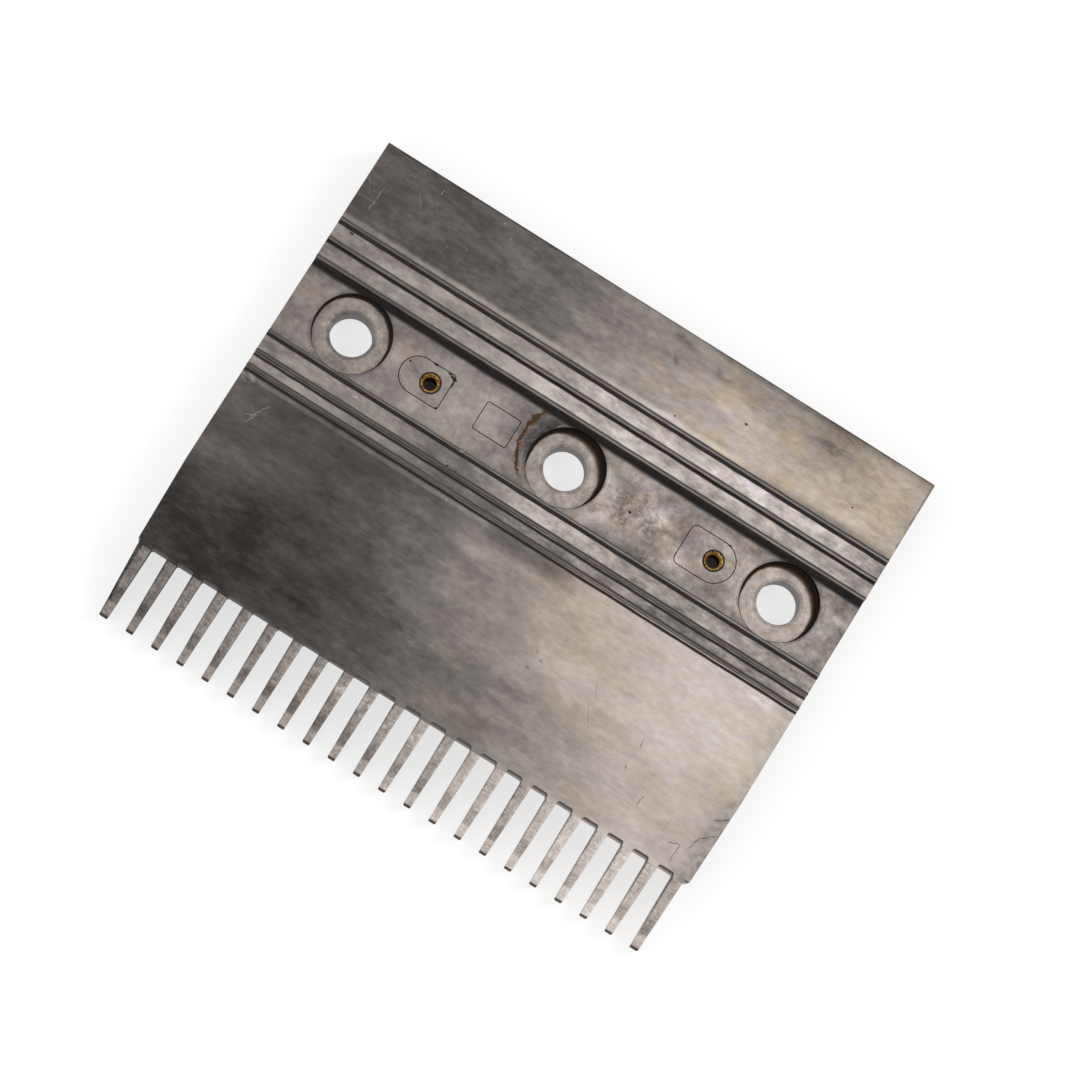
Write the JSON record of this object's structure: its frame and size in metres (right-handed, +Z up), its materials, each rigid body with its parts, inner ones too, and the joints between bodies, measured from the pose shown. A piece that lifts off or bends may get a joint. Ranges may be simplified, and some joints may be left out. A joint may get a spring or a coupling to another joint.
{
  "type": "escalator comb plate",
  "caption": "Die-cast comb plate for an escalator landing: a row of tapered comb teeth on a ribbed plate with counterbored screw holes and brass threaded inserts.",
  "frame": {"origin": "axis of the middle screw hole, on the seat face", "axes": "+X along the tooth row to the right as seen from above, +Y from the teeth to the rear edge, +Z up out of the tread"},
  "size_m": [0.1992, 0.1704, 0.0143],
  "materials": {
    "cast_aluminium": "brushed and worn on top, as cast in the channel and below",
    "brass": "machined, slightly tarnished"
  },
  "bodies": {
    "root": {"comb_plate": "cast_aluminium", "left_threaded_insert": "brass", "right_threaded_insert": "brass"}
  },
  "joints": []
}
